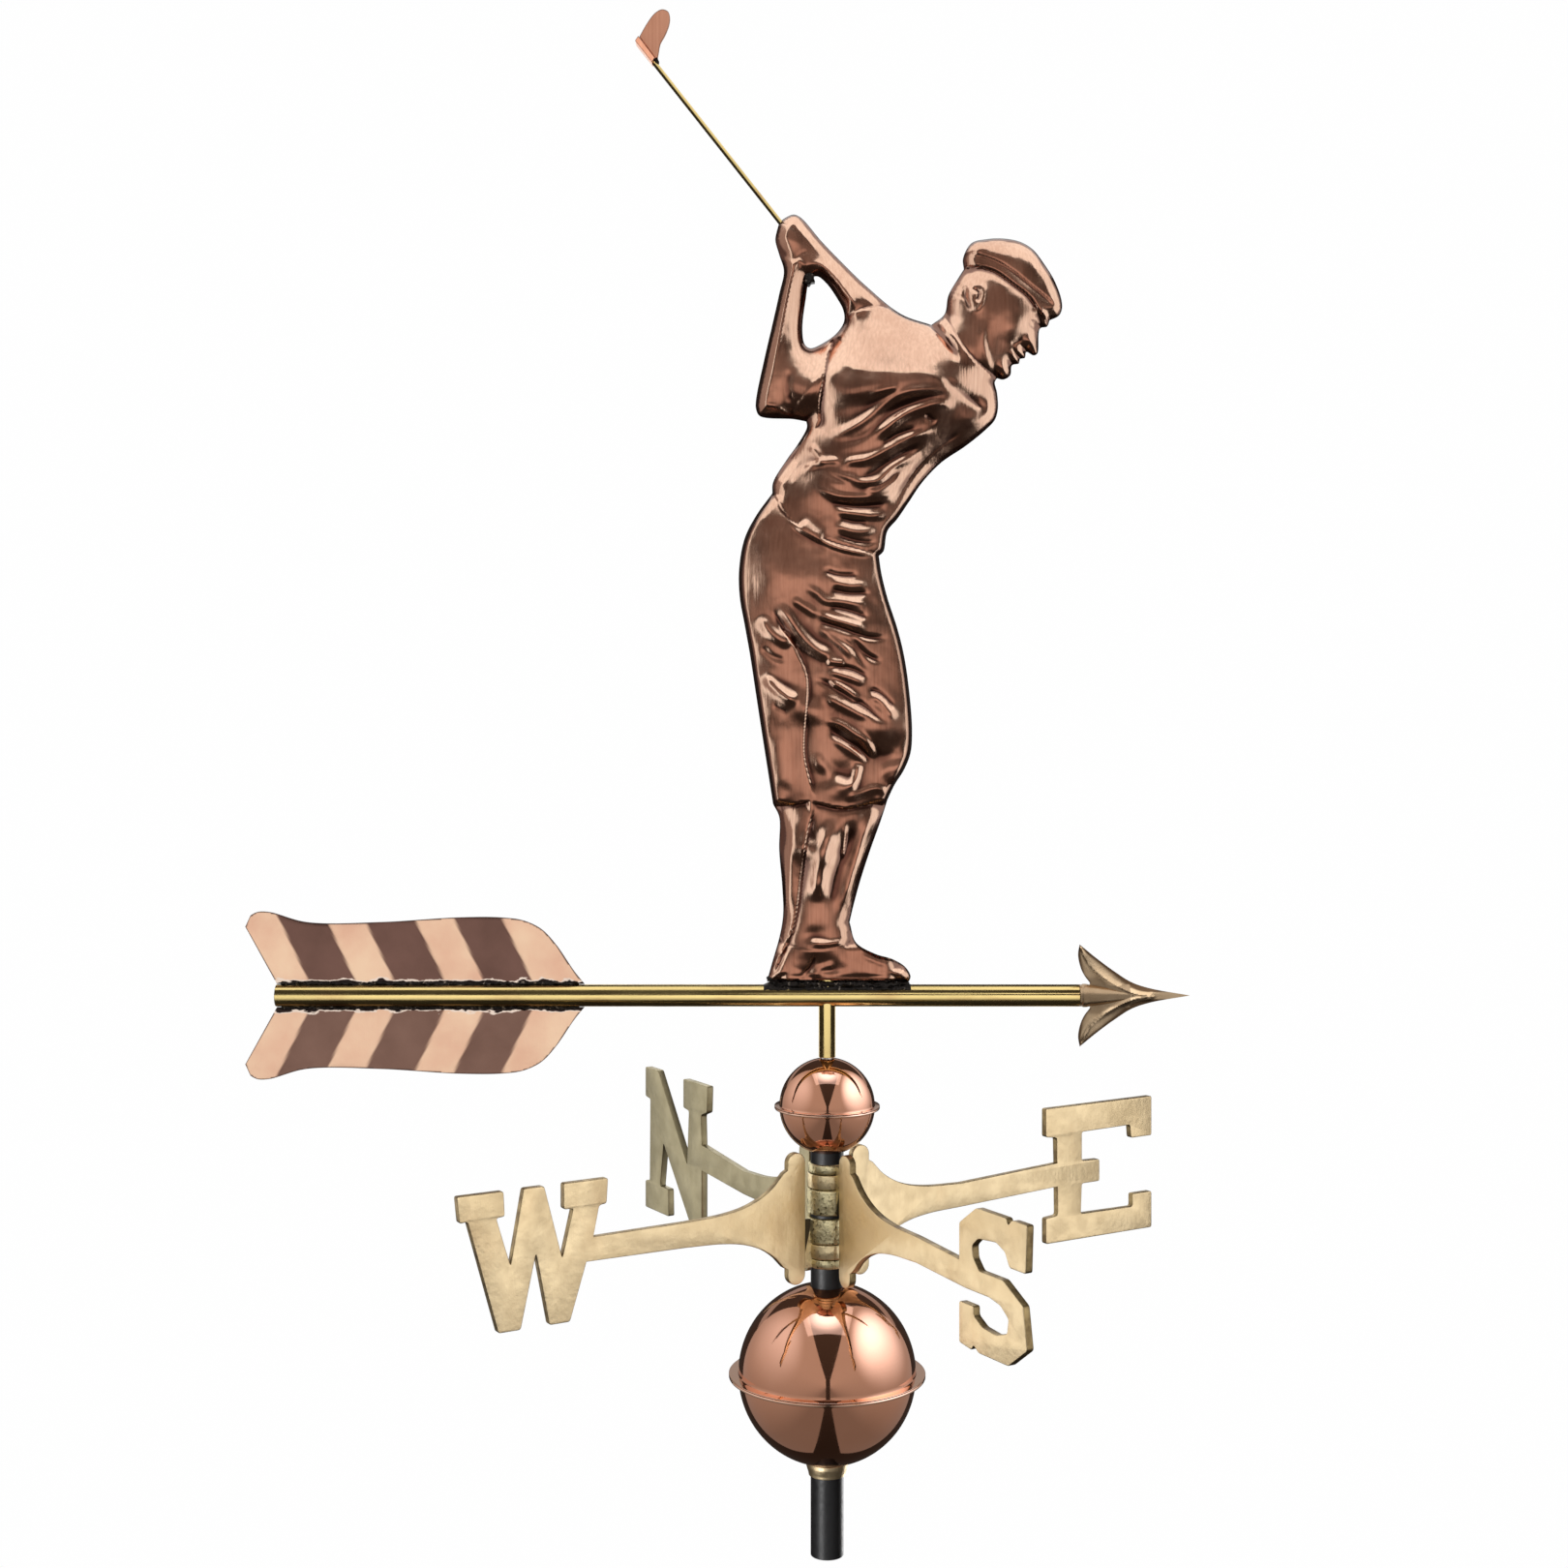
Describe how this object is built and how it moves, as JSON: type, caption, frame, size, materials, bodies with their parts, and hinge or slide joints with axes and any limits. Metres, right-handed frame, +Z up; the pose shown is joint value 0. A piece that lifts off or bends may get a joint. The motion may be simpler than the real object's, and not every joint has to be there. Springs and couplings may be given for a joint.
{
  "type": "weather vane",
  "caption": "Golfer weather vane: a copper figure on a turning brass arrow above copper globes and adjustable brass compass letters on a black steel mast.",
  "frame": {"origin": "centre of the mast's flat lower end", "axes": "+Z up the mast, +X the way the arrow points at rest, the pictured side faces -Y"},
  "size_m": [0.6111, 0.402, 0.9997],
  "materials": {
    "mast_black": "satin black paint",
    "plain_steel": "bright",
    "cast_brass": "satin cast brass with brushed faces",
    "tube_brass": "polished drawn brass",
    "cast_bronze": "dull cast bronze",
    "globe_copper": "mirror-polished copper",
    "figure_copper": "polished stamped copper with a fine brushed grain",
    "feather_copper": "polished copper sheet with darker embossed bands",
    "solder": "blackened solder"
  },
  "bodies": {
    "mast": {"mast": "mast_black", "spindle_pin": "plain_steel", "bearing_ball": "plain_steel", "lower_collar": "cast_brass", "lower_collar_set_screw": "plain_steel", "large_globe_lower_half": "globe_copper", "large_globe_upper_half": "globe_copper", "small_globe_lower_half": "globe_copper", "small_globe_upper_half": "globe_copper"},
    "ns_directionals": {"directional_north_south": "cast_brass", "north_south_set_screw": "plain_steel"},
    "ew_directionals": {"directional_east_west": "cast_brass", "east_west_set_screw": "plain_steel"},
    "vane": {"arrow_tube": "tube_brass", "arrowhead": "cast_bronze", "tail_feather_upper": "feather_copper", "tail_feather_lower": "feather_copper", "spindle_sleeve": "tube_brass", "sleeve_thrust_plug": "plain_steel", "sole_solder_saddle": "solder", "golfer_front_shell": "figure_copper", "golfer_back_shell": "figure_copper", "club_shaft": "tube_brass", "club_head": "figure_copper", "club_sole": "figure_copper"}
  },
  "joints": [
    {"name": "vane_spin", "type": "hinge", "parent": "mast", "child": "vane", "pos_m": [0, 0, 0.3617], "axis": [0, 0, 1], "continuous": true},
    {"name": "ns_align", "type": "hinge", "parent": "mast", "child": "ns_directionals", "pos_m": [0, 0, 0.2205], "axis": [0, 0, 1], "continuous": true},
    {"name": "ew_align", "type": "hinge", "parent": "ns_directionals", "child": "ew_directionals", "pos_m": [0, 0, 0.2205], "axis": [0, 0, 1], "range_deg": [-60, 60]}
  ]
}
